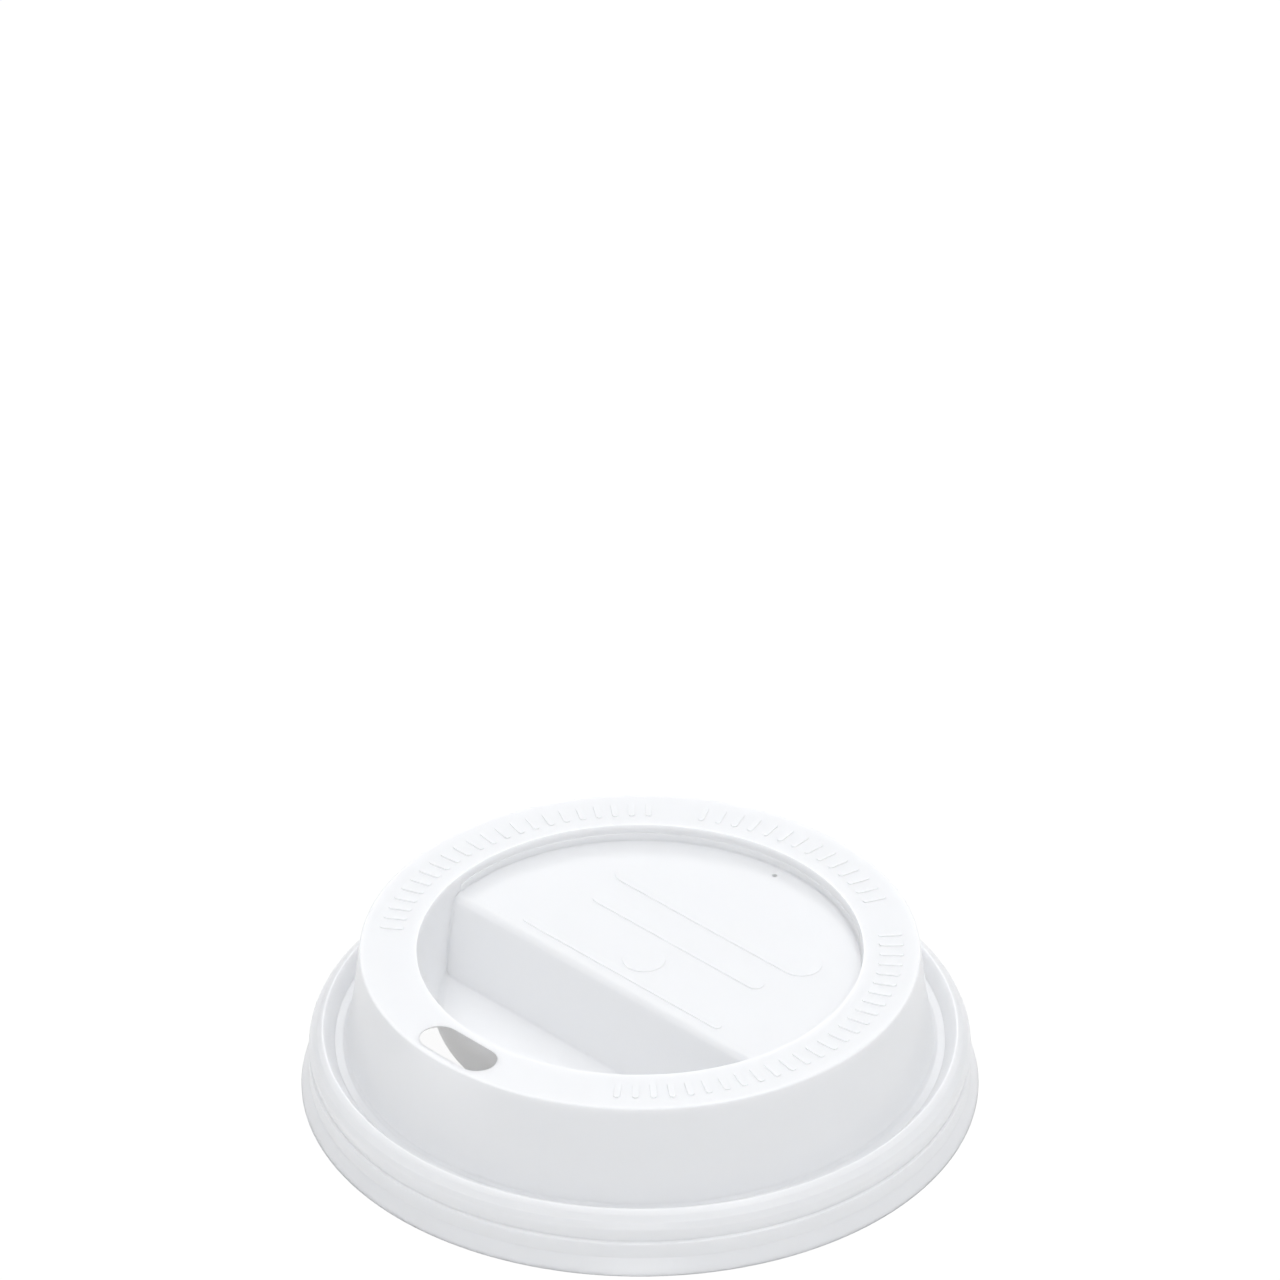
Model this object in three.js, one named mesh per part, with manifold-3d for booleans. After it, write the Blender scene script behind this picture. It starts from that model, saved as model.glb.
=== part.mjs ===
import * as THREE from "three";
import { mergeVertices } from "three/addons/utils/BufferGeometryUtils.js";
import Module from "manifold-3d";

// Takeaway cup lid, one thermoformed sheet. Millimetres, +Z up.
// Origin: centre of the skirt's lower edge, which is the face the lid stands on.
// The sip hole is on the -Y side.

// Sheet
const SHEET = 0.45;                // thickness of the formed sheet
const SEGMENTS = 80;               // facets round the lid
const OVERCUT = 1.5;               // how far a cutting body passes a face

// Skirt, from the trimmed edge up. Each inset is measured inwards from the trimmed edge,
// and each rise upwards from the line before it.
const SKIRT_R = 42.0;              // outer radius of the trimmed edge
const FLANGE_INSET = 0.95;         // knee between the two flared bands
const FLANGE_RISE = 2.03;
const LEDGE_INSET = 1.24;          // outer side of the small ledge under the bead
const LEDGE_RISE = 1.97;
const UNDERCUT_INSET = 1.5;        // narrowest place, grips the rolled rim of the cup
const UNDERCUT_RISE = 0.35;
const BEAD_INSET = 1.05;           // widest place of the bead
const BEAD_RISE = 1.95;
const SHOULDER_INSET = 1.55;       // shoulder of the bead
const SHOULDER_RISE = 1.35;
const CREST_INSET = 2.8;           // crest of the bead
const CREST_RISE = 0.35;
const BELLY_RATIO = 0.4;           // how soon the bead swells above its narrowest place

// Groove between the bead and the dome
const GROOVE_DEPTH = 1.75;         // from the crest of the bead to the groove's floor
const GROOVE_SLOPE_RUN = 1.45;     // width of the slope from the crest to the floor
const GROOVE_FLOOR = 1.05;         // width of the flat floor
const GROOVE_LIFT = 0.35;          // small slope at the foot of the dome wall

// Dome wall and ring
const DOME_FLARE = 0.9;            // how far the lower dome wall leans in
const DOME_FLARE_RISE = 4.9;       // height of that part
const DOME_LEAN = 0.95;            // how far the rest of the wall leans in
const LID_HEIGHT = 19.27;          // height of the ring over the trimmed edge
const RING_WIDTH = 7.02;           // flat ring, outside to inside
const RING_ROUND = 0.55;           // outer edge radius of the ring

// Recess inside the ring. Depths are measured down from the ring.
const PLATFORM_DEPTH = 2.27;       // high half of the recess
const LIP_DEPTH = 1.23;            // crease in the short upright wall round the platform
const LIP_LEAN = 0.15;             // how far that wall leans in, down to the crease
const DECK_DEPTH = 10.37;          // low half of the recess, where the lip goes
const DECK_LEAN = 3.15;            // how far the wall of the low half leans in
const DECK_FILLET = 0.8;

// Step between the platform and the deck, parallel to X
const STEP_OFFSET = 5.8;           // upper edge of the step from the centre
const STEP_RUN = 4.65;             // upper edge to foot, level
const STEP_TOP_ROUND = 1.3;
const STEP_FOOT_ROUND = 0.7;

// Punched holes
const SIP_LENGTH = 11.4;
const SIP_WIDTH = 4.9;
const VENT_D = 0.7;
const VENT_INSET = 1.83;           // vent from the ring's inner edge
const VENT_TURN = 94;              // degrees from +X

// Facets of the small roundings
const ROUND_STEPS = 4;
const EDGE_STEPS = 3;
const SIP_END_STEPS = 10;
const VENT_STEPS = 10;

// Places that follow from the sizes above
const FLANGE_Z = FLANGE_RISE;
const LEDGE_Z = FLANGE_Z + LEDGE_RISE;
const UNDERCUT_Z = LEDGE_Z + UNDERCUT_RISE;
const BEAD_Z = UNDERCUT_Z + BEAD_RISE;
const SHOULDER_Z = BEAD_Z + SHOULDER_RISE;
const CREST_Z = SHOULDER_Z + CREST_RISE;
const GROOVE_Z = CREST_Z - GROOVE_DEPTH;
const GROOVE_OUT_R = SKIRT_R - CREST_INSET - GROOVE_SLOPE_RUN;
const GROOVE_IN_R = GROOVE_OUT_R - GROOVE_FLOOR;
const DOME_FOOT_R = GROOVE_IN_R - GROOVE_LIFT;
const WAIST_R = DOME_FOOT_R - DOME_FLARE;
const WAIST_Z = GROOVE_Z + GROOVE_LIFT + DOME_FLARE_RISE;
const RING_R = WAIST_R - DOME_LEAN;
const RING_IN_R = RING_R - RING_WIDTH;
const SIP_MID_R = RING_R - RING_WIDTH / 2;
const PLATFORM_Z = LID_HEIGHT - PLATFORM_DEPTH;
const DECK_Z = LID_HEIGHT - DECK_DEPTH;
const DECK_SLOPE = DECK_LEAN / DECK_DEPTH;
const FLANGE_SLOPE = FLANGE_INSET / FLANGE_RISE;

const wasm = await Module();
wasm.setup();

// Plane geometry helpers, points are [across, up]

function minus(a, b) {
  return [a[0] - b[0], a[1] - b[1]];
}

function unit(a) {
  const size = Math.hypot(a[0], a[1]);
  return [a[0] / size, a[1] / size];
}

// Replaces the corner of a chain by an arc of the given radius.
function roundCorner(before, corner, after, radius, steps) {
  const u = unit(minus(before, corner));
  const v = unit(minus(after, corner));
  const half = Math.acos(u[0] * v[0] + u[1] * v[1]) / 2;
  const back = radius / Math.tan(half);
  const mid = unit([u[0] + v[0], u[1] + v[1]]);
  const reach = radius / Math.sin(half);
  const centre = [corner[0] + mid[0] * reach, corner[1] + mid[1] * reach];
  const start = [corner[0] + u[0] * back, corner[1] + u[1] * back];
  const end = [corner[0] + v[0] * back, corner[1] + v[1] * back];
  const from = Math.atan2(start[1] - centre[1], start[0] - centre[0]);
  let sweep = Math.atan2(end[1] - centre[1], end[0] - centre[0]) - from;
  if (sweep > Math.PI) sweep -= 2 * Math.PI;
  if (sweep < -Math.PI) sweep += 2 * Math.PI;
  const points = [];
  for (let i = 0; i <= steps; i += 1) {
    const turn = from + (sweep * i) / steps;
    points.push([centre[0] + radius * Math.cos(turn), centre[1] + radius * Math.sin(turn)]);
  }
  return points;
}

// Moves an open chain sideways by a distance, to the left of its direction.
function offsetChain(chain, distance) {
  return chain.map((point, i) => {
    const prev = chain[Math.max(i - 1, 0)];
    const next = chain[Math.min(i + 1, chain.length - 1)];
    const a = i === 0 ? unit(minus(next, point)) : unit(minus(point, prev));
    const b = i === chain.length - 1 ? a : unit(minus(next, point));
    const normal = unit([-(a[1] + b[1]), a[0] + b[0]]);
    const spread = normal[0] * -a[1] + normal[1] * a[0];
    return [point[0] + (normal[0] * distance) / spread, point[1] + (normal[1] * distance) / spread];
  });
}

// Solids

function toSolid(geometry) {
  geometry.deleteAttribute("normal");
  geometry.deleteAttribute("uv");
  const merged = mergeVertices(geometry, 1e-4);
  return new wasm.Manifold(new wasm.Mesh({
    numProp: 3,
    vertProperties: new Float32Array(merged.attributes.position.array),
    triVerts: new Uint32Array(merged.index.array),
  }));
}

// Revolves a closed outline about Z. The outline starts and ends on the axis and runs upwards.
function revolve(outline) {
  const points = outline.map(([r, z]) => new THREE.Vector2(r, z));
  const geometry = new THREE.LatheGeometry(points, SEGMENTS);
  geometry.rotateX(Math.PI / 2);
  return toSolid(geometry);
}

function extrudeShape(points, depth) {
  const shape = new THREE.Shape(points.map(([x, y]) => new THREE.Vector2(x, y)));
  return new THREE.ExtrudeGeometry(shape, { depth, bevelEnabled: false, steps: 1 });
}

// Outer line of the skirt, groove, dome wall and ring, from the trimmed edge up

function outerChain() {
  const undercut = [SKIRT_R - UNDERCUT_INSET, UNDERCUT_Z];
  const bead = [SKIRT_R - BEAD_INSET, BEAD_Z];
  const belly = [bead[0] - (bead[0] - undercut[0]) / 3, UNDERCUT_Z + BEAD_RISE * BELLY_RATIO];
  const shoulder = [SKIRT_R - SHOULDER_INSET, SHOULDER_Z];
  const crest = [SKIRT_R - CREST_INSET, CREST_Z];
  const mid = [(shoulder[0] + crest[0]) / 2, (SHOULDER_Z + CREST_Z) / 2 + CREST_RISE / 3];
  const side = [(bead[0] + shoulder[0]) / 2 + SHOULDER_RISE / 12, (BEAD_Z + SHOULDER_Z) / 2];
  const ringEdge = roundCorner(
    [WAIST_R, WAIST_Z], [RING_R, LID_HEIGHT], [RING_IN_R, LID_HEIGHT], RING_ROUND, EDGE_STEPS);
  return [
    [SKIRT_R, 0],
    [SKIRT_R - FLANGE_INSET, FLANGE_Z],
    [SKIRT_R - LEDGE_INSET, LEDGE_Z],
    undercut,
    belly,
    bead,
    side,
    shoulder,
    mid,
    crest,
    [GROOVE_OUT_R, GROOVE_Z],
    [GROOVE_IN_R, GROOVE_Z],
    [DOME_FOOT_R, GROOVE_Z + GROOVE_LIFT],
    [WAIST_R, WAIST_Z],
    ...ringEdge,
  ];
}

function domeSolid(shrink) {
  const chain = outerChain();
  const line = shrink > 0 ? offsetChain(chain, shrink) : chain;
  const top = LID_HEIGHT - shrink;
  if (shrink > 0) {
    const foot = line[0];
    line[0] = [foot[0] + (foot[1] + OVERCUT) * FLANGE_SLOPE, -OVERCUT];
  }
  return revolve([[0, line[0][1]], ...line, [0, top]]);
}

// Low half of the recess: a drafted round wall over a floor that steps down to the deck

function wellWall(grow) {
  const lean = grow * Math.hypot(1, DECK_SLOPE);
  const wallAt = (z) => RING_IN_R - (LID_HEIGHT - z) * DECK_SLOPE + lean;
  const floor = DECK_Z - grow;
  const fillet = roundCorner(
    [0, floor], [wallAt(floor), floor], [wallAt(LID_HEIGHT), LID_HEIGHT], DECK_FILLET + grow, ROUND_STEPS);
  return revolve([
    [0, floor - OVERCUT],
    [fillet[0][0], floor - OVERCUT],
    ...fillet,
    [wallAt(LID_HEIGHT), LID_HEIGHT],
    [wallAt(LID_HEIGHT), LID_HEIGHT + OVERCUT],
    [0, LID_HEIGHT + OVERCUT],
  ]);
}

function steppedFloor(grow) {
  const far = RING_R + OVERCUT;
  const foot = [-STEP_OFFSET - STEP_RUN, DECK_Z];
  const edge = [-STEP_OFFSET, PLATFORM_Z];
  const chain = offsetChain([
    [-far, DECK_Z],
    ...roundCorner([-far, DECK_Z], foot, edge, STEP_FOOT_ROUND, ROUND_STEPS),
    ...roundCorner(foot, edge, [far, PLATFORM_Z], STEP_TOP_ROUND, ROUND_STEPS),
    [far, PLATFORM_Z],
  ], -grow);
  return alongX([...chain, [far, LID_HEIGHT + OVERCUT], [-far, LID_HEIGHT + OVERCUT]], far);
}

// Extrudes an outline of [y, z] points along X, to the same reach on both sides.
function alongX(outline, reach) {
  const geometry = extrudeShape(outline, 2 * reach);
  geometry.applyMatrix4(new THREE.Matrix4().makeBasis(
    new THREE.Vector3(0, 1, 0), new THREE.Vector3(0, 0, 1), new THREE.Vector3(1, 0, 0)));
  geometry.translate(-reach, 0, 0);
  return toSolid(geometry);
}

// High half of the recess: a shallow round pan with a nearly upright wall

function platformPan(grow) {
  const far = RING_R + OVERCUT;
  const floor = PLATFORM_Z - grow;
  const wall = RING_IN_R - LIP_LEAN + grow;
  const pan = revolve([
    [0, floor],
    [wall, floor],
    [wall, LID_HEIGHT - LIP_DEPTH],
    [RING_IN_R + grow, LID_HEIGHT],
    [RING_IN_R + grow, LID_HEIGHT + OVERCUT],
    [0, LID_HEIGHT + OVERCUT],
  ]);
  const front = -STEP_OFFSET - grow;
  const low = floor - OVERCUT;
  const high = LID_HEIGHT + 2 * OVERCUT;
  return pan.intersect(alongX([[front, low], [far, low], [far, high], [front, high]], far));
}

function recess(grow) {
  return wellWall(grow).intersect(steppedFloor(grow)).add(platformPan(grow));
}

// Sip hole, a slot with round ends punched through the ring

function sipHole() {
  const end = SIP_WIDTH / 2;
  const half = SIP_LENGTH / 2 - end;
  const points = [];
  for (const side of [1, -1]) {
    for (let i = 0; i <= SIP_END_STEPS; i += 1) {
      const turn = -Math.PI / 2 + (Math.PI * i) / SIP_END_STEPS + (side < 0 ? Math.PI : 0);
      points.push([side * half + end * Math.cos(turn), end * Math.sin(turn) - SIP_MID_R]);
    }
  }
  const geometry = extrudeShape(points, SHEET + 2 * OVERCUT);
  geometry.translate(0, 0, LID_HEIGHT - SHEET - OVERCUT);
  return toSolid(geometry);
}

// Vent hole, a pin prick through the platform

function ventHole() {
  const geometry = new THREE.CylinderGeometry(VENT_D / 2, VENT_D / 2, SHEET + 2 * OVERCUT, VENT_STEPS);
  geometry.rotateX(Math.PI / 2);
  const turn = (VENT_TURN * Math.PI) / 180;
  const reach = RING_IN_R - VENT_INSET;
  geometry.translate(reach * Math.cos(turn), reach * Math.sin(turn), PLATFORM_Z - SHEET / 2);
  return toSolid(geometry);
}

function lidSolid() {
  const outside = domeSolid(0).subtract(recess(0));
  const inside = domeSolid(SHEET).subtract(recess(SHEET));
  return outside.subtract(inside).subtract(sipHole()).subtract(ventHole());
}

function toGeometry(solid) {
  const mesh = solid.getMesh();
  const geometry = new THREE.BufferGeometry();
  geometry.setAttribute("position", new THREE.BufferAttribute(new Float32Array(mesh.vertProperties), 3));
  geometry.setIndex(new THREE.BufferAttribute(new Uint32Array(mesh.triVerts), 1));
  geometry.computeVertexNormals();
  return geometry;
}

const group = new THREE.Group();
group.name = "coffee_cup_lid";
const lid = new THREE.Mesh(
  toGeometry(lidSolid()),
  new THREE.MeshStandardMaterial({ name: "white polystyrene", color: 0xf1f2f5, roughness: 0.35 }),
);
lid.name = "lid";
group.add(lid);

export default group;
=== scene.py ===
import bpy
import bmesh
from math import acos, atan2, cos, hypot, pi, radians, sin, tan
from mathutils import Matrix, Vector


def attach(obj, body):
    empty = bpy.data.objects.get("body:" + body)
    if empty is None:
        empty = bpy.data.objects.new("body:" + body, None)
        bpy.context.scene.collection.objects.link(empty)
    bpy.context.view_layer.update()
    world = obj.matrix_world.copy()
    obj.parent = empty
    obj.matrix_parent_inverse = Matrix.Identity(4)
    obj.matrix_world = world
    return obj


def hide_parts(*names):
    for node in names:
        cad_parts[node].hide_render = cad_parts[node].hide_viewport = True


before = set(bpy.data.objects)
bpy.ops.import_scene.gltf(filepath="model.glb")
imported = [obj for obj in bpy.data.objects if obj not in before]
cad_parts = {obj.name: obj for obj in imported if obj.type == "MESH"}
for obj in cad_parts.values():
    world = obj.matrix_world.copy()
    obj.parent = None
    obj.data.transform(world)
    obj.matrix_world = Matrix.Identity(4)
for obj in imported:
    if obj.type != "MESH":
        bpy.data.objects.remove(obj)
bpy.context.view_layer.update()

MM = 0.001

# Sheet and mesh fineness, in mm as all sizes here
SHEET = 0.45
SPIN_STEPS = 240
WALL_ROUND_STEPS = 5
RECESS_ROUND_STEPS = 8
SHARP_ANGLE = 25

# Skirt, bead, groove, dome wall and ring, as radius and height
SKIRT_EDGE = (42.0, 0.0)
FLANGE_KNEE = (41.05, 2.03)
BAND_TOP = (40.93, 3.55)
LEDGE = (40.93, 3.97)
UNDERCUT = (40.62, 4.2)
BEAD_BELLY = (40.83, 5.0)
BEAD_SIDE = (40.96, 6.0)
BEAD_TURN = (40.62, 6.85)
SHOULDER = (39.97, 7.5)
CREST = (39.2, 8.02)
GROOVE_OUT = (37.75, 6.25)
GROOVE_IN = (36.7, 6.25)
DOME_FOOT = (36.35, 6.6)
DOME_WAIST = (35.45, 11.5)
RING_EDGE = (34.5, 19.27)
RING_ROUND = 0.25
RING_IN_R = 27.48

# Roundings of the wall line's corners, in the order above
WALL_ROUNDS = (0, 0.15, 0.3, 0.1, 0.1, 1.2, 0.8, 0.3, 0.2, 0.2, 0.15, 0.3, 0.3, 12.0, RING_ROUND, 0)
LEAST_ROUND = 0.04

# Recess
CREASE_DEPTH = 1.23
CREASE_NICK = 0.07
PAN_LEAN = 0.15
PAN_CLEARANCE = 0.006
PLATFORM_Z = 17.0
DECK_Z = 8.9
DECK_R = 27.6
DECK_SHIFT = 3.75
DECK_FILLET = 0.8
STEP_TOP_Y = -5.8
STEP_FOOT_Y = -10.45
STEP_TOP_ROUND = 1.3
STEP_FOOT_ROUND = 0.5
RECESS_SOFTENING = 0.25
CORNER_FILLET = 0.5
FILLET_TAPER = (0.85, 0.6, 0.3)
PAN_FOOT_ROUND = 0.2
LAP = 1.2

# How far cutting bodies reach
FAR = 36.0
OVERSHOOT = 2
OPEN_DROP = 1.5

# Punched holes
SIP_LENGTH = 11.4
SIP_WIDTH = 4.9
SIP_MID_R = 30.99
SIP_LAND = 0.1
SIP_FLARE = 0.5
VENT_D = 0.7
VENT_R = 25.65
VENT_TURN = 94.0
VENT_DEPTH = 3

# Plain raised marks
RIB_ARCS = ((133, 217), (65, 120), (-50, 50))
RIB_MID_R = 30.9
RIB_PITCH = 2.2
RIB_LENGTH = 3.0
RIB_WIDTH = 0.8
RIB_HEIGHT = 0.13
RIB_ROOT = 0.3
RIB_SOFTENING = 0.06
PANEL_HEIGHT = 0.12
PANEL_SOFTENING = 0.08
PANELS = ((34.0, 5.2, 13.6), (29.0, 2.2, 6.6), (5.4, 5.38, 0.7), (34.0, 1.2, -3.2))

# Lamps as name, place, width and power, and the camera, all in metres and watts
LAMPS = (
    ("overhead", (0.0, 0.0, 1.35), 1.1, 1.2),
    ("key panel", (0.6475, 0.0567, 1.1258), 0.4, 1.3),
    ("back panel", (-0.704, 0.704, 0.836), 0.6, 1.4),
    ("front panel", (0.892, -0.892, 0.315), 0.5, 1.35),
)
CAMERA_PLACE = (0.5769, -0.5769, 0.5688)
CAMERA_AIM = (0, 0, 0.0636)
CAMERA_LENS = 225


# Profile drawing

def round_corner(before, corner, after, radius, steps):
    """Points of the arc that takes the place of a corner."""
    corner = Vector(corner)
    u = (Vector(before) - corner).normalized()
    v = (Vector(after) - corner).normalized()
    half = acos(max(-1.0, min(1.0, u.dot(v)))) / 2
    centre = corner + (u + v).normalized() * (radius / sin(half))
    start = corner + u * (radius / tan(half))
    end = corner + v * (radius / tan(half))
    first = atan2(start.y - centre.y, start.x - centre.x)
    sweep = atan2(end.y - centre.y, end.x - centre.x) - first
    sweep = (sweep + pi) % (2 * pi) - pi
    turns = [first + sweep * i / steps for i in range(steps + 1)]
    return [(centre.x + radius * cos(turn), centre.y + radius * sin(turn)) for turn in turns]


def softened(chain, radii, steps):
    """A chain of points with its inner corners rounded, each by its own radius."""
    out = [chain[0]]
    for i in range(1, len(chain) - 1):
        if radii[i]:
            out += round_corner(chain[i - 1], chain[i], chain[i + 1], radii[i], steps)
        else:
            out.append(chain[i])
    out.append(chain[-1])
    return out


# Mesh making

def spun(outline):
    """Closed bmesh from an outline of radius and height that starts and ends on the axis."""
    bm = bmesh.new()
    verts = [bm.verts.new((r * MM, 0, z * MM)) for r, z in outline]
    edges = [bm.edges.new(pair) for pair in zip(verts[:-1], verts[1:])]
    bmesh.ops.spin(bm, geom=verts + edges, cent=(0, 0, 0), axis=(0, 0, 1), angle=2 * pi,
                   steps=SPIN_STEPS, use_merge=True, use_duplicate=False)
    bmesh.ops.remove_doubles(bm, verts=bm.verts, dist=1e-7)
    bmesh.ops.recalc_face_normals(bm, faces=bm.faces)
    return bm


def pushed(points, direction):
    """Closed bmesh from a flat outline in space, extruded along a direction."""
    bm = bmesh.new()
    face = bm.faces.new([bm.verts.new(Vector(p) * MM) for p in points])
    grown = bmesh.ops.extrude_face_region(bm, geom=[face])["geom"]
    moved = [g for g in grown if isinstance(g, bmesh.types.BMVert)]
    bmesh.ops.translate(bm, verts=moved, vec=Vector(direction) * MM)
    bmesh.ops.recalc_face_normals(bm, faces=bm.faces)
    return bm


def as_object(bm, name):
    mesh = bpy.data.meshes.new(name)
    bm.to_mesh(mesh)
    bm.free()
    obj = bpy.data.objects.new(name, mesh)
    bpy.context.scene.collection.objects.link(obj)
    return obj


def settle(obj):
    """Turns the modifiers of an object into its mesh."""
    bpy.context.view_layer.update()
    shaped = obj.evaluated_get(bpy.context.evaluated_depsgraph_get())
    mesh = bpy.data.meshes.new_from_object(shaped)
    mesh.name = obj.name
    obj.modifiers.clear()
    obj.data = mesh


def combine(obj, tool, operation):
    """Cuts, joins or crosses an object with a tool body, and uses the tool up."""
    step = obj.modifiers.new("shape", "BOOLEAN")
    step.operation = operation
    step.solver = "EXACT"
    step.object = tool
    settle(obj)
    bpy.data.objects.remove(tool)


# Lid bodies, one for the outer face of the sheet and one for its inner face

def offset(chain, distance):
    """A chain of points moved sideways, to the left of its direction."""
    moved = []
    for i, point in enumerate(chain):
        here = Vector(point)
        back = (here - Vector(chain[i - 1])).normalized() if i else None
        ahead = (Vector(chain[i + 1]) - here).normalized() if i < len(chain) - 1 else None
        back = back or ahead
        ahead = ahead or back
        a = Vector((-back.y, back.x))
        normal = (a + Vector((-ahead.y, ahead.x))).normalized()
        moved.append(tuple(here + normal * (distance / normal.dot(a))))
    return moved


def turns_left(chain, i):
    """Whether a chain turns to the left at one of its points."""
    a = Vector(chain[i]) - Vector(chain[i - 1])
    b = Vector(chain[i + 1]) - Vector(chain[i])
    return a.x * b.y - a.y * b.x > 0


def wall_line(shrink):
    """The skirt, bead, groove, dome wall and ring edge, with the corners rounded."""
    chain = [SKIRT_EDGE, FLANGE_KNEE, BAND_TOP, LEDGE, UNDERCUT, BEAD_BELLY, BEAD_SIDE, BEAD_TURN,
             SHOULDER, CREST, GROOVE_OUT, GROOVE_IN, DOME_FOOT, DOME_WAIST, RING_EDGE,
             (RING_IN_R, RING_EDGE[1])]
    radii = WALL_ROUNDS
    if shrink:
        inner = range(1, len(chain) - 1)
        sides = [0] + [shrink if turns_left(chain, i) else -shrink for i in inner] + [0]
        radii = [max(r - side, LEAST_ROUND) if r else 0 for r, side in zip(radii, sides)]
        chain = offset(chain, shrink)
    return softened(chain, radii, WALL_ROUND_STEPS)


def dome_body(shrink):
    """The whole outside of the lid as a solid body, or the space under its sheet."""
    line = wall_line(shrink)
    top = RING_EDGE[1] - shrink
    if shrink:
        slope = (SKIRT_EDGE[0] - FLANGE_KNEE[0]) / FLANGE_KNEE[1]
        line[0] = (line[0][0] + (line[0][1] + OPEN_DROP) * slope, -OPEN_DROP)
    return as_object(spun([(0, line[0][1])] + line[:-1] + [(0, top)]), "dome")


def slab(outline, name):
    """A body with an outline of y and z, pushed along X over the whole lid."""
    return as_object(pushed([(-FAR, y, z) for y, z in outline], (2 * FAR, 0, 0)), name)


def well_body(grow):
    """The low half of the recess: a round wall that leans most at the front, over a stepped floor."""
    top = RING_EDGE[1]
    slope = (RING_IN_R - DECK_R) / (top - DECK_Z)
    lean = hypot(1, slope) * grow
    floor_z = DECK_Z - grow
    rim = (RING_IN_R + lean, top)
    corner = (RING_IN_R - (top - floor_z) * slope + lean, floor_z)
    foot = round_corner((0, floor_z), corner, rim, DECK_FILLET + grow, RECESS_ROUND_STEPS)
    high = top + OVERSHOOT
    low = floor_z - OVERSHOOT
    bm = spun([(0, low), (foot[0][0], low)] + foot + [rim, (rim[0], high), (0, high)])
    tilt = Matrix.Identity(4)
    tilt[1][2] = -DECK_SHIFT / (top - DECK_Z)
    tilt[1][3] = DECK_SHIFT / (top - DECK_Z) * top * MM
    bmesh.ops.transform(bm, matrix=tilt, verts=bm.verts)
    wall = as_object(bm, "well_wall")
    end = STEP_TOP_Y + LAP
    chain = [(-FAR, DECK_Z), (STEP_FOOT_Y, DECK_Z), (STEP_TOP_Y, PLATFORM_Z), (end, PLATFORM_Z)]
    radii = [0, STEP_FOOT_ROUND + grow, STEP_TOP_ROUND - grow, 0]
    line = softened(offset(chain, -grow), radii, RECESS_ROUND_STEPS)
    combine(wall, slab(line + [(end, high), (-FAR, high)], "stepped_floor"), "INTERSECT")
    soften_corners(wall, RECESS_SOFTENING + grow)
    return wall


def pan_body(grow):
    """The high half of the recess: a shallow round pan with a crease in its upright wall."""
    top = RING_EDGE[1]
    wall = RING_IN_R - PAN_LEAN + grow
    crease = top - CREASE_DEPTH
    low = PLATFORM_Z - grow + PAN_CLEARANCE
    rim = RING_IN_R + grow + PAN_CLEARANCE
    side = [(wall, crease), (rim, top)]
    if not grow:
        side = [(wall, crease - CREASE_NICK), (wall + CREASE_NICK, crease), (rim, top)]
    foot = round_corner((0, low), (wall, low), side[0], PAN_FOOT_ROUND + grow, WALL_ROUND_STEPS)
    high = top + OVERSHOOT
    pan = as_object(spun([(0, low)] + foot + side + [(rim, high), (0, high)]), "pan")
    front = STEP_TOP_Y - grow
    half = slab([(front, low - 1), (FAR, low - 1), (FAR, high + 1), (front, high + 1)], "half")
    combine(pan, half, "INTERSECT")
    return pan


def soften_corners(tool, width):
    """Rounds the lines where the step and the deck meet the round wall."""
    bm = bmesh.new()
    bm.from_mesh(tool.data)
    bmesh.ops.remove_doubles(bm, verts=bm.verts, dist=1e-6)
    bmesh.ops.dissolve_limit(bm, angle_limit=radians(0.2), verts=bm.verts, edges=bm.edges)
    limit = (PLATFORM_Z - 0.6) * MM
    sharp = [e for e in bm.edges if len(e.link_faces) == 2
             and e.calc_face_angle() > radians(SHARP_ANGLE) and max(v.co.z for v in e.verts) < limit]
    bmesh.ops.bevel(bm, geom=sharp, offset=width * MM, offset_type="OFFSET", affect="EDGES",
                    segments=4, profile=0.5, material=-1, clamp_overlap=True)
    bmesh.ops.recalc_face_normals(bm, faces=bm.faces)
    bm.to_mesh(tool.data)
    bm.free()


def corner_section(z, side, reach):
    """Level section of the fillet where the step meets the round wall, at one height."""
    rise = (z - DECK_Z) / (PLATFORM_Z - DECK_Z)
    y = STEP_FOOT_Y + (STEP_TOP_Y - STEP_FOOT_Y) * rise
    fall = (RING_EDGE[1] - z) / (RING_EDGE[1] - DECK_Z)
    wall = RING_IN_R + (DECK_R - RING_IN_R) * fall
    middle = Vector((0, DECK_SHIFT * fall))
    corner = Vector((side * (wall ** 2 - (y - middle.y) ** 2) ** 0.5, y))
    turned = atan2(corner.y - middle.y, corner.x) - side * reach / wall
    on_wall = middle + Vector((cos(turned), sin(turned))) * (wall + 0.03)
    on_step = Vector((corner.x - side * reach, y + 0.03))
    points = [corner + Vector((side * 0.2, 0.2))]
    for i in range(7):
        s = i / 6
        points.append(on_wall * (1 - s) ** 2 + corner * (2 * s * (1 - s)) + on_step * s ** 2)
    return [(p.x, p.y, z) for p in points]


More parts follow.
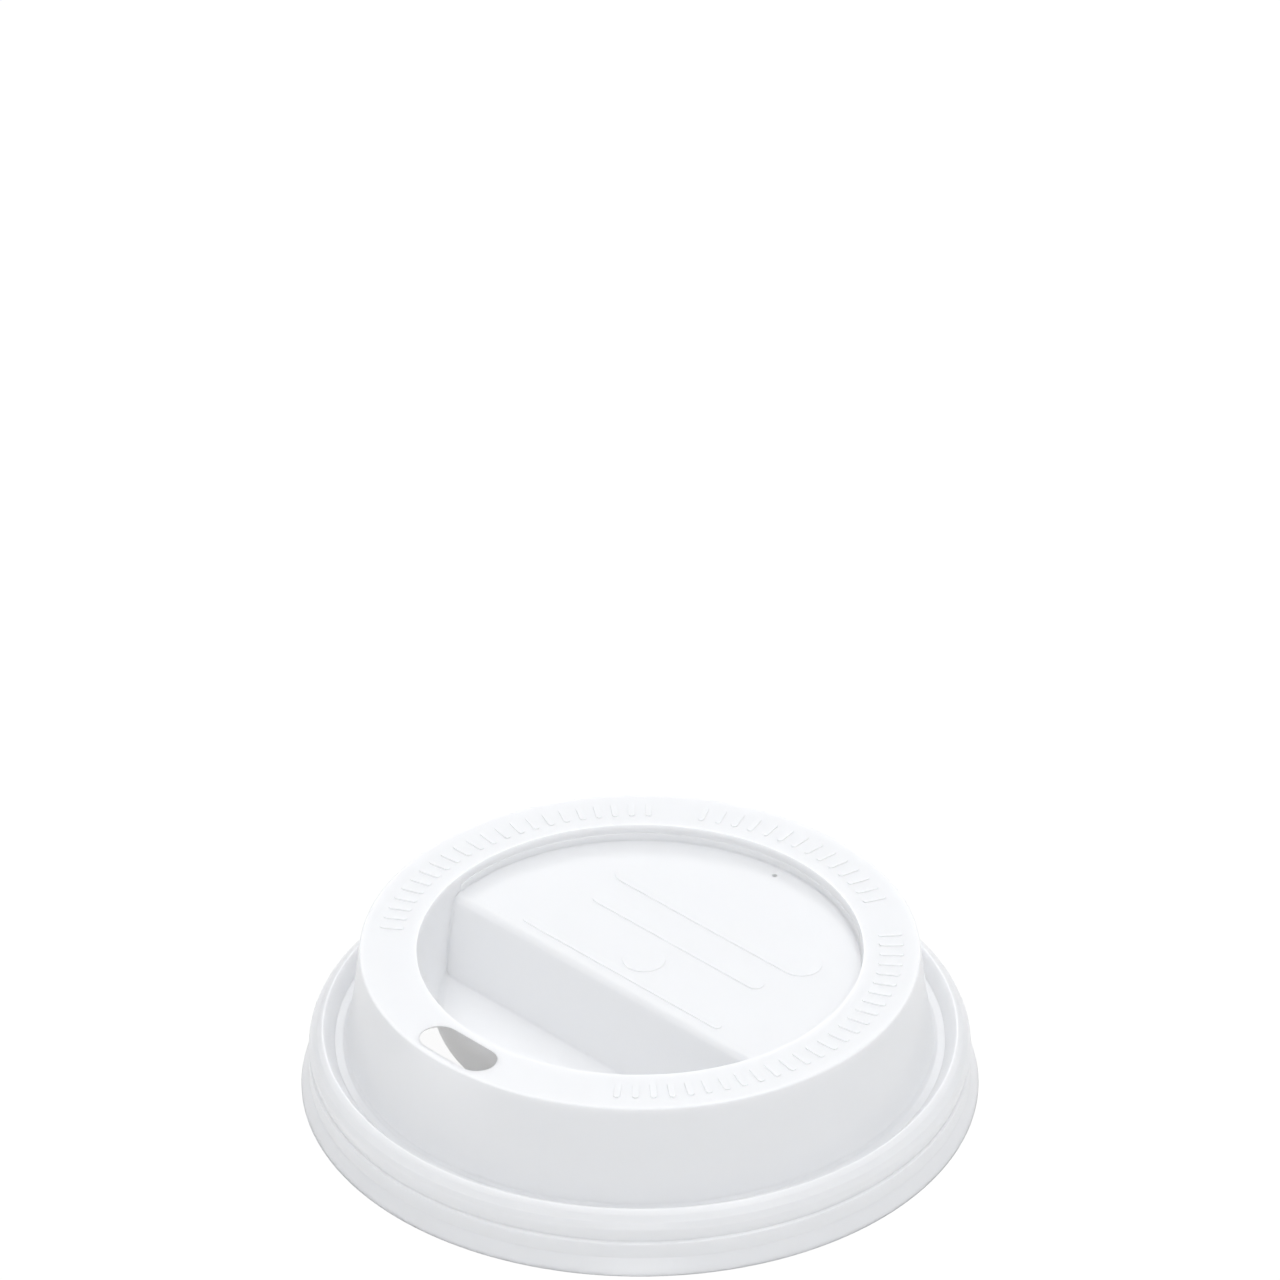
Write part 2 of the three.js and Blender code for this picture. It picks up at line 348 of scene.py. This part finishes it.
def corner_fillet(side):
    """Small fillet that runs up the corner between the step and the round wall."""
    heights = [DECK_Z - 0.1 + (PLATFORM_Z - DECK_Z) * i / 12 for i in range(13)]
    reaches = [CORNER_FILLET] * 10 + [CORNER_FILLET * k for k in FILLET_TAPER]
    bm = bmesh.new()
    start = corner_section(heights[0], side, reaches[0])
    face = bm.faces.new([bm.verts.new(Vector(p) * MM) for p in start])
    verts = list(face.verts)
    for z, reach in zip(heights[1:], reaches[1:]):
        grown = bmesh.ops.extrude_face_region(bm, geom=[face])["geom"]
        if z > heights[1]:
            bmesh.ops.delete(bm, geom=[face], context="FACES_ONLY")
        face = [g for g in grown if isinstance(g, bmesh.types.BMFace)][0]
        by_start = {tuple(v.co): v for v in face.verts}
        ring = [by_start[tuple(v.co)] for v in verts]
        for vert, place in zip(ring, corner_section(z, side, reach)):
            vert.co = Vector(place) * MM
        verts = ring
    bmesh.ops.triangulate(bm, faces=bm.faces)
    bmesh.ops.recalc_face_normals(bm, faces=bm.faces)
    return as_object(bm, "corner_fillet")


def slot_outline(length, width, middle_y, z):
    """Outline of a slot with round ends that runs along X."""
    end = width / 2
    half = length / 2 - end
    points = []
    for side in (1, -1):
        for i in range(17):
            turn = -pi / 2 + pi * i / 16 + (pi if side < 0 else 0)
            points.append((side * half + end * cos(turn), end * sin(turn) + middle_y, z))
    return points


def sip_tool():
    """Slot punch that flares out below a short upright edge."""
    outline = slot_outline(SIP_LENGTH, SIP_WIDTH, -SIP_MID_R, RING_EDGE[1] + OVERSHOOT)
    bm = pushed(outline, (0, 0, -OVERSHOOT - SIP_LAND))
    low = min(bm.faces, key=lambda f: f.calc_center_median().z)
    grown = bmesh.ops.extrude_face_region(bm, geom=[low])["geom"]
    bmesh.ops.delete(bm, geom=[low], context="FACES_ONLY")
    verts = [g for g in grown if isinstance(g, bmesh.types.BMVert)]
    wider = ((SIP_LENGTH + 2 * SIP_FLARE) / SIP_LENGTH,
             (SIP_WIDTH + 2 * SIP_FLARE) / SIP_WIDTH, 1)
    bmesh.ops.scale(bm, verts=verts, vec=wider, space=Matrix.Translation((0, SIP_MID_R * MM, 0)))
    bmesh.ops.translate(bm, verts=verts, vec=(0, 0, -SIP_FLARE * MM))
    bmesh.ops.recalc_face_normals(bm, faces=bm.faces)
    return as_object(bm, "sip_tool")


def vent_tool():
    """Round punch for the vent."""
    bm = bmesh.new()
    turn = radians(VENT_TURN)
    place = Vector((VENT_R * cos(turn), VENT_R * sin(turn), PLATFORM_Z)) * MM
    radius = VENT_D / 2 * MM
    bmesh.ops.create_cone(bm, cap_ends=True, segments=20, radius1=radius, radius2=radius,
                          depth=VENT_DEPTH * MM, matrix=Matrix.Translation(place))
    return as_object(bm, "vent_tool")


# Plain raised marks on the ring and the platform

def rounded_top(bm, faces, width):
    """Softens the upper edges of a raised mark, which are taken in the same order each run."""
    edges = dict.fromkeys(e for f in faces for e in f.edges)
    bmesh.ops.bevel(bm, geom=list(edges), offset=width * MM, offset_type="OFFSET", affect="EDGES",
                    segments=2, profile=0.5, material=-1, clamp_overlap=True)


def ring_ribs(drop):
    """Short ribs in three arcs round the flat ring."""
    middle_z = RING_EDGE[1] + RIB_HEIGHT - RIB_ROOT / 2 - drop
    bm = bmesh.new()
    for first, last in RIB_ARCS:
        count = round(radians(last - first) * RIB_MID_R / RIB_PITCH)
        for i in range(count + 1):
            turn = radians(first + (last - first) * i / count)
            place = (Matrix.Rotation(turn, 4, "Z")
                     @ Matrix.Translation(Vector((RIB_MID_R, 0, middle_z)) * MM)
                     @ Matrix.Diagonal((RIB_LENGTH * MM, RIB_WIDTH * MM, RIB_ROOT * MM, 1)))
            bmesh.ops.create_cube(bm, size=1, matrix=place)
    upright = [e for e in bm.edges if abs(e.verts[0].co.z - e.verts[1].co.z) > 1e-5]
    bmesh.ops.bevel(bm, geom=upright, offset=RIB_WIDTH * 0.45 * MM, offset_type="OFFSET",
                    affect="EDGES", segments=3, profile=0.5, material=-1, clamp_overlap=True)
    rounded_top(bm, [f for f in bm.faces if f.normal.z > 0.9], RIB_SOFTENING)
    return as_object(bm, "ring_ribs")


def raised_panel(length, width, middle_y, drop):
    """A plain raised panel with round ends on the platform."""
    top = PLATFORM_Z + PANEL_HEIGHT - drop
    bm = pushed(slot_outline(length, width, middle_y, top), (0, 0, -RIB_ROOT))
    rounded_top(bm, [f for f in bm.faces if f.normal.z > 0.9], PANEL_SOFTENING)
    return as_object(bm, "panel")


def close_seams(obj):
    """Merges points that the cuts left on top of each other."""
    bm = bmesh.new()
    bm.from_mesh(obj.data)
    bmesh.ops.remove_doubles(bm, verts=bm.verts, dist=0.002 * MM)
    bmesh.ops.dissolve_degenerate(bm, dist=0.001 * MM, edges=bm.edges)
    bm.to_mesh(obj.data)
    bm.free()


def raise_marks(body, drop):
    """Joins the raised marks to a body, set lower by the drop."""
    combine(body, ring_ribs(drop), "UNION")
    for length, width, middle_y in PANELS:
        combine(body, raised_panel(length, width, middle_y, drop), "UNION")


def make_lid():
    """The outer body, less the body under the sheet, less the punched holes."""
    lid = dome_body(0)
    lid.name = "lid_shell"
    combine(lid, pan_body(0), "DIFFERENCE")
    combine(lid, well_body(0), "DIFFERENCE")
    for side in (1, -1):
        combine(lid, corner_fillet(side), "UNION")
    raise_marks(lid, 0)
    under = dome_body(SHEET)
    combine(under, pan_body(SHEET), "DIFFERENCE")
    combine(under, well_body(SHEET), "DIFFERENCE")
    raise_marks(under, SHEET)
    combine(lid, under, "DIFFERENCE")
    combine(lid, sip_tool(), "DIFFERENCE")
    combine(lid, vent_tool(), "DIFFERENCE")
    close_seams(lid)
    lid.data.polygons.foreach_set("use_smooth", [True] * len(lid.data.polygons))
    lid.data.set_sharp_from_angle(angle=radians(SHARP_ANGLE))
    even = lid.modifiers.new("even shading", "WEIGHTED_NORMAL")
    even.mode = "FACE_AREA"
    even.weight = 50
    even.keep_sharp = True
    return lid


# Materials

def new_material(name):
    mat = bpy.data.materials.new(name)
    mat.use_nodes = True
    mat.node_tree.nodes.clear()
    return mat, mat.node_tree.nodes, mat.node_tree.links


def polystyrene():
    """White formed polystyrene sheet with a soft gloss."""
    mat, nodes, links = new_material("white polystyrene sheet")
    out = nodes.new("ShaderNodeOutputMaterial")
    shader = nodes.new("ShaderNodeBsdfPrincipled")
    shader.inputs["Base Color"].default_value = (0.95, 0.954, 0.964, 1)
    shader.inputs["Roughness"].default_value = 0.29
    shader.inputs["IOR"].default_value = 1.55
    shader.inputs["Subsurface Weight"].default_value = 0.85
    shader.inputs["Subsurface Radius"].default_value = (1.0, 0.97, 0.93)
    shader.inputs["Subsurface Scale"].default_value = 0.0014
    links.new(shader.outputs[0], out.inputs[0])
    place = nodes.new("ShaderNodeTexCoord")
    grain = nodes.new("ShaderNodeTexNoise")
    grain.inputs["Scale"].default_value = 1400
    grain.inputs["Detail"].default_value = 2
    links.new(place.outputs["Object"], grain.inputs["Vector"])
    bump = nodes.new("ShaderNodeBump")
    bump.inputs["Strength"].default_value = 0.06
    bump.inputs["Distance"].default_value = 0.00004
    links.new(grain.outputs["Fac"], bump.inputs["Height"])
    links.new(bump.outputs["Normal"], shader.inputs["Normal"])
    return mat


def floor_finish():
    """Plain white floor that stays white to the camera and keeps a faint soft shadow."""
    mat, nodes, links = new_material("plain white floor")
    out = nodes.new("ShaderNodeOutputMaterial")
    matt = nodes.new("ShaderNodeBsdfDiffuse")
    matt.inputs["Color"].default_value = (0.9, 0.9, 0.9, 1)
    lift = nodes.new("ShaderNodeEmission")
    rays = nodes.new("ShaderNodeLightPath")
    either = nodes.new("ShaderNodeMath")
    either.operation = "MAXIMUM"
    mirrored = nodes.new("ShaderNodeMath")
    mirrored.operation = "MAXIMUM"
    share = nodes.new("ShaderNodeMath")
    share.operation = "MULTIPLY"
    share.inputs[1].default_value = 0.93
    both = nodes.new("ShaderNodeMixShader")
    lift.inputs["Strength"].default_value = 1.03
    links.new(rays.outputs["Is Glossy Ray"], mirrored.inputs[0])
    links.new(rays.outputs["Is Transmission Ray"], mirrored.inputs[1])
    links.new(rays.outputs["Is Camera Ray"], either.inputs[0])
    links.new(mirrored.outputs[0], either.inputs[1])
    links.new(either.outputs[0], share.inputs[0])
    links.new(share.outputs[0], both.inputs[0])
    links.new(matt.outputs[0], both.inputs[1])
    links.new(lift.outputs[0], both.inputs[2])
    links.new(both.outputs[0], out.inputs[0])
    return mat


# Floor, light and camera

def make_floor():
    bm = bmesh.new()
    bmesh.ops.create_grid(bm, x_segments=1, y_segments=1, size=6)
    floor = as_object(bm, "floor")
    floor.data.materials.append(floor_finish())


def area_light(name, place, size, power):
    """Round soft lamp that faces the lid."""
    data = bpy.data.lights.new(name, "AREA")
    data.shape = "DISK"
    data.size = size
    data.energy = power
    lamp = bpy.data.objects.new(name, data)
    bpy.context.scene.collection.objects.link(lamp)
    lamp.location = place
    lamp.rotation_euler = (Vector() - Vector(place)).to_track_quat("-Z", "Y").to_euler()


def make_world():
    """Soft room light that is weaker near the horizon, with a white background."""
    world = bpy.data.worlds.new("soft room")
    bpy.context.scene.world = world
    world.use_nodes = True
    nodes = world.node_tree.nodes
    links = world.node_tree.links
    nodes.clear()
    out = nodes.new("ShaderNodeOutputWorld")
    seen = nodes.new("ShaderNodeBackground")
    seen.inputs["Color"].default_value = (1, 1, 1, 1)
    seen.inputs["Strength"].default_value = 1.0
    fill = nodes.new("ShaderNodeBackground")
    fill.inputs["Color"].default_value = (0.97, 0.98, 1.0, 1)
    place = nodes.new("ShaderNodeTexCoord")
    parts = nodes.new("ShaderNodeSeparateXYZ")
    rise = nodes.new("ShaderNodeMapRange")
    rise.interpolation_type = "SMOOTHSTEP"
    rise.inputs["From Max"].default_value = 0.6
    rise.inputs["To Min"].default_value = 0.42
    rise.inputs["To Max"].default_value = 0.985
    links.new(place.outputs["Generated"], parts.inputs[0])
    links.new(parts.outputs["Z"], rise.inputs["Value"])
    links.new(rise.outputs["Result"], fill.inputs["Strength"])
    rays = nodes.new("ShaderNodeLightPath")
    pick = nodes.new("ShaderNodeMixShader")
    links.new(rays.outputs["Is Camera Ray"], pick.inputs[0])
    links.new(fill.outputs[0], pick.inputs[1])
    links.new(seen.outputs[0], pick.inputs[2])
    links.new(pick.outputs[0], out.inputs[0])


def make_camera():
    """Camera at the photograph's viewing angle."""
    data = bpy.data.cameras.new("camera")
    data.sensor_width = 36
    data.lens = CAMERA_LENS
    data.clip_start = 0.01
    cam = bpy.data.objects.new("camera", data)
    bpy.context.scene.collection.objects.link(cam)
    cam.location = CAMERA_PLACE
    aim = Vector(CAMERA_AIM) - cam.location
    cam.rotation_euler = aim.to_track_quat("-Z", "Y").to_euler()
    bpy.context.scene.camera = cam


# Scene

bpy.context.scene.view_settings.view_transform = "Standard"

make_camera()
make_world()
make_floor()
for lamp in LAMPS:
    area_light(*lamp)

lid = make_lid()
lid.data.materials.clear()
lid.data.materials.append(polystyrene())
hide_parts("lid")
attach(lid, "root")
